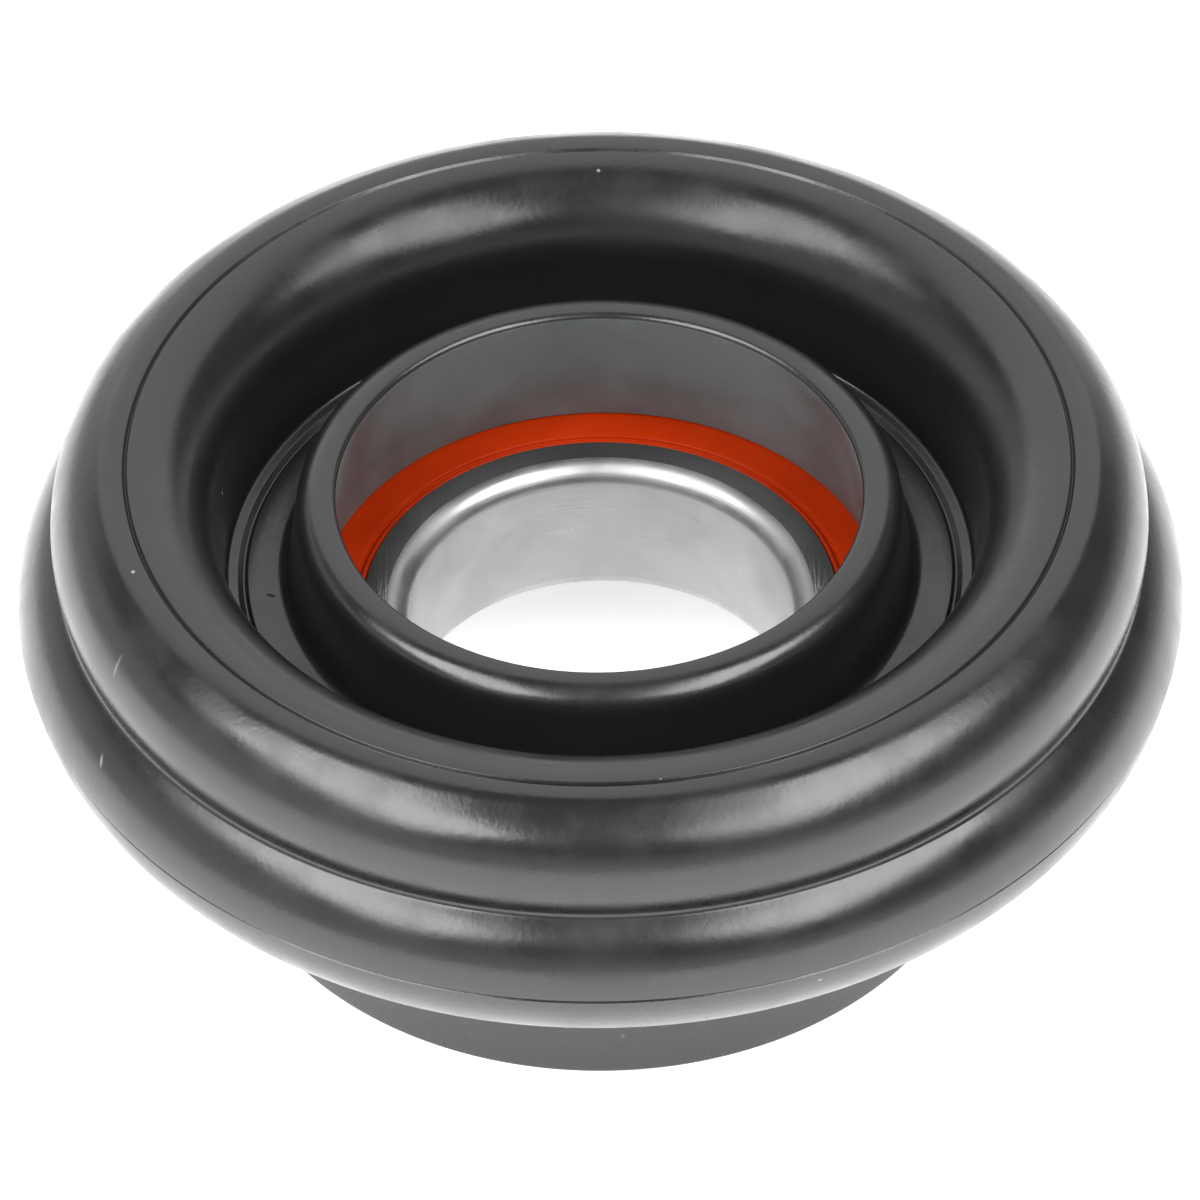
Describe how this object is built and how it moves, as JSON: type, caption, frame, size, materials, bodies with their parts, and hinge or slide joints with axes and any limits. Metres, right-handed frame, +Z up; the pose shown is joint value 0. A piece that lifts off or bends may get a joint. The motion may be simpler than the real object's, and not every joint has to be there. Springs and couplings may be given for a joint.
{
  "type": "driveshaft centre bearing",
  "caption": "Centre support bearing for a driveshaft: a lobed black rubber cushion ring with a raised neck, gripping a sealed ball bearing with orange seals and a steel bore.",
  "frame": {"origin": "centre of the skirt's bottom plane, on the axis of the shaft bore", "axes": "+Z up the bore axis, from the skirt towards the neck and the lip; the part is round about Z"},
  "size_m": [0.1202, 0.1202, 0.0491],
  "materials": {
    "cushion_rubber": "satin black moulded rubber",
    "bearing_steel": "ground bearing steel",
    "seal_rubber": "smooth orange-red seal rubber",
    "cage_steel": "pressed steel sheet",
    "ball_steel": "polished bearing balls"
  },
  "bodies": {
    "housing": {"cushion": "cushion_rubber", "outer_ring": "bearing_steel", "upper_seal": "seal_rubber", "lower_seal": "seal_rubber"},
    "rotor": {"inner_ring": "bearing_steel"},
    "cage": {"upper_cage": "cage_steel", "lower_cage": "cage_steel", "cage_rivets": "cage_steel"},
    "ball_01": {"ball_01": "ball_steel"},
    "ball_02": {"ball_02": "ball_steel"},
    "ball_03": {"ball_03": "ball_steel"},
    "ball_04": {"ball_04": "ball_steel"},
    "ball_05": {"ball_05": "ball_steel"},
    "ball_06": {"ball_06": "ball_steel"},
    "ball_07": {"ball_07": "ball_steel"},
    "ball_08": {"ball_08": "ball_steel"},
    "ball_09": {"ball_09": "ball_steel"},
    "ball_10": {"ball_10": "ball_steel"},
    "ball_11": {"ball_11": "ball_steel"},
    "ball_12": {"ball_12": "ball_steel"}
  },
  "joints": [
    {"name": "inner_spin", "type": "hinge", "parent": "housing", "child": "rotor", "pos_m": [0, 0, 0.0202], "axis": [0, 0, 1], "continuous": true},
    {"name": "cage_spin", "type": "hinge", "parent": "housing", "child": "cage", "pos_m": [0, 0, 0.0202], "axis": [0, 0, 1], "continuous": true},
    {"name": "ball_01_spin", "type": "hinge", "parent": "cage", "child": "ball_01", "pos_m": [0.027, 0, 0.0202], "axis": [0, 0, 1], "continuous": true},
    {"name": "ball_02_spin", "type": "hinge", "parent": "cage", "child": "ball_02", "pos_m": [0.02338, 0.0135, 0.0202], "axis": [0, 0, 1], "continuous": true},
    {"name": "ball_03_spin", "type": "hinge", "parent": "cage", "child": "ball_03", "pos_m": [0.0135, 0.02338, 0.0202], "axis": [0, 0, 1], "continuous": true},
    {"name": "ball_04_spin", "type": "hinge", "parent": "cage", "child": "ball_04", "pos_m": [0, 0.027, 0.0202], "axis": [0, 0, 1], "continuous": true},
    {"name": "ball_05_spin", "type": "hinge", "parent": "cage", "child": "ball_05", "pos_m": [-0.0135, 0.02338, 0.0202], "axis": [0, 0, 1], "continuous": true},
    {"name": "ball_06_spin", "type": "hinge", "parent": "cage", "child": "ball_06", "pos_m": [-0.02338, 0.0135, 0.0202], "axis": [0, 0, 1], "continuous": true},
    {"name": "ball_07_spin", "type": "hinge", "parent": "cage", "child": "ball_07", "pos_m": [-0.027, 0, 0.0202], "axis": [0, 0, 1], "continuous": true},
    {"name": "ball_08_spin", "type": "hinge", "parent": "cage", "child": "ball_08", "pos_m": [-0.02338, -0.0135, 0.0202], "axis": [0, 0, 1], "continuous": true},
    {"name": "ball_09_spin", "type": "hinge", "parent": "cage", "child": "ball_09", "pos_m": [-0.0135, -0.02338, 0.0202], "axis": [0, 0, 1], "continuous": true},
    {"name": "ball_10_spin", "type": "hinge", "parent": "cage", "child": "ball_10", "pos_m": [0, -0.027, 0.0202], "axis": [0, 0, 1], "continuous": true},
    {"name": "ball_11_spin", "type": "hinge", "parent": "cage", "child": "ball_11", "pos_m": [0.0135, -0.02338, 0.0202], "axis": [0, 0, 1], "continuous": true},
    {"name": "ball_12_spin", "type": "hinge", "parent": "cage", "child": "ball_12", "pos_m": [0.02338, -0.0135, 0.0202], "axis": [0, 0, 1], "continuous": true}
  ],
  "couplings": [
    {"joint": "cage_spin", "follows": "inner_spin", "ratio": 0.4265},
    {"joint": "ball_01_spin", "follows": "inner_spin", "ratio": -3.3279},
    {"joint": "ball_02_spin", "follows": "inner_spin", "ratio": -3.3279},
    {"joint": "ball_03_spin", "follows": "inner_spin", "ratio": -3.3279},
    {"joint": "ball_04_spin", "follows": "inner_spin", "ratio": -3.3279},
    {"joint": "ball_05_spin", "follows": "inner_spin", "ratio": -3.3279},
    {"joint": "ball_06_spin", "follows": "inner_spin", "ratio": -3.3279},
    {"joint": "ball_07_spin", "follows": "inner_spin", "ratio": -3.3279},
    {"joint": "ball_08_spin", "follows": "inner_spin", "ratio": -3.3279},
    {"joint": "ball_09_spin", "follows": "inner_spin", "ratio": -3.3279},
    {"joint": "ball_10_spin", "follows": "inner_spin", "ratio": -3.3279},
    {"joint": "ball_11_spin", "follows": "inner_spin", "ratio": -3.3279},
    {"joint": "ball_12_spin", "follows": "inner_spin", "ratio": -3.3279}
  ]
}
